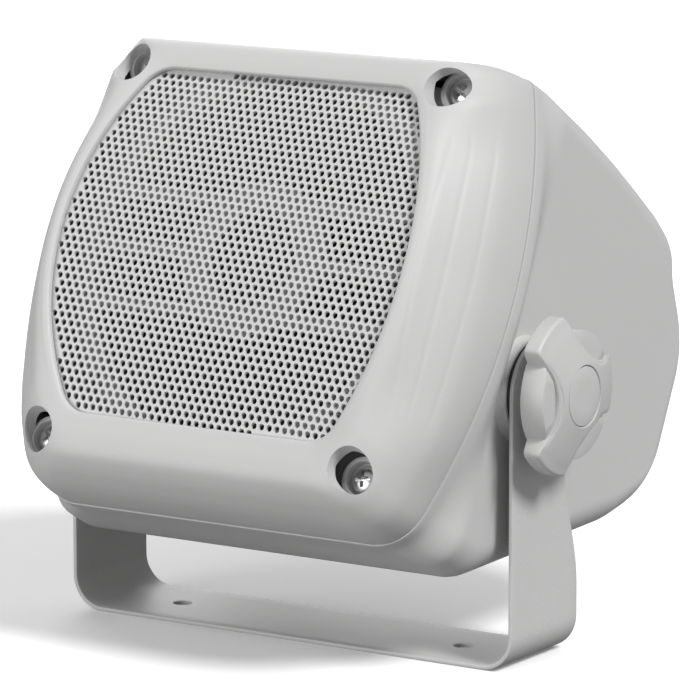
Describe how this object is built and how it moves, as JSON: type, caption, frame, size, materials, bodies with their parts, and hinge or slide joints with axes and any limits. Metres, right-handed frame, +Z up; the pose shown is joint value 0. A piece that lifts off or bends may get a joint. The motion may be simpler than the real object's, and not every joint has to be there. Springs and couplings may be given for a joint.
{
  "type": "box speaker",
  "caption": "Small box speaker with a bowed perforated grille, tilting on a U shaped strap bracket that is clamped by two lobed knobs.",
  "frame": {"origin": "middle of the underside of the bracket's base, between its two fixing holes", "axes": "+X to the speaker's left side as it faces the listener (right in the picture), along the tilt pivot; the grille faces -Y; +Z up from the surface that the bracket is screwed to"},
  "size_m": [0.2108, 0.1856, 0.2001],
  "materials": {
    "shell_plastic": "light grey moulded plastic, soft sheen",
    "bracket_paint": "light grey powder coat",
    "grille_paint": "light grey powder coat on perforated sheet",
    "stainless": "stainless steel",
    "plated_steel": "zinc plated steel",
    "black_rubber": "matt black rubber",
    "black_paint": "black paint",
    "black_plastic": "matt black plastic",
    "amber_plastic": "amber film",
    "amber_cloth": "stiffened cloth",
    "copper": "enamelled copper wire",
    "ferrite": "sintered ferrite",
    "board_green": "printed board",
    "capacitor_blue": "sleeved capacitor",
    "brass": "turned brass"
  },
  "bodies": {
    "bracket": {"bracket": "bracket_paint"},
    "cabinet": {"rear_enclosure": "shell_plastic", "front_bezel": "shell_plastic", "grille": "grille_paint", "front_gasket": "black_rubber", "bezel_screws": "stainless", "baffle": "shell_plastic", "tweeter_bridge": "shell_plastic", "woofer_basket": "black_paint", "woofer_surround": "black_rubber", "woofer_spider": "amber_cloth", "woofer_front_plate": "plated_steel", "woofer_magnet": "ferrite", "woofer_back_plate": "plated_steel", "woofer_screws": "stainless", "tweeter_housing": "black_plastic", "tweeter_dome": "black_plastic", "tweeter_magnet": "ferrite", "crossover_board": "board_green", "crossover_capacitor": "capacitor_blue", "crossover_coil": "copper", "board_screws": "stainless", "cable_grommet": "black_rubber", "pivot_inserts": "brass", "pivot_washers": "black_rubber"},
    "cone": {"woofer_cone": "black_plastic", "woofer_dust_cap": "black_plastic", "woofer_former": "amber_plastic", "woofer_coil": "copper"},
    "knob_right": {"knob_right": "shell_plastic", "knob_stud_right": "stainless", "knob_cap_right": "shell_plastic"},
    "knob_left": {"knob_left": "shell_plastic", "knob_stud_left": "stainless", "knob_cap_left": "shell_plastic"}
  },
  "joints": [
    {"name": "tilt", "type": "hinge", "parent": "bracket", "child": "cabinet", "pos_m": [0, -0.004, 0.0923], "axis": [-1, 0, 0], "range_deg": [-30, 33]},
    {"name": "cone_travel", "type": "slide", "parent": "cabinet", "child": "cone", "axis": [0, -0.8949, 0.4462], "range_m": [-0.002, 0.002], "stiffness_N_per_m": 1200},
    {"name": "knob_right_turn", "type": "hinge", "parent": "cabinet", "child": "knob_right", "pos_m": [0.089, -0.004, 0.0923], "axis": [1, 0, 0], "range_deg": [0, 360]},
    {"name": "knob_left_turn", "type": "hinge", "parent": "cabinet", "child": "knob_left", "pos_m": [-0.089, -0.004, 0.0923], "axis": [-1, 0, 0], "range_deg": [0, 360]}
  ]
}
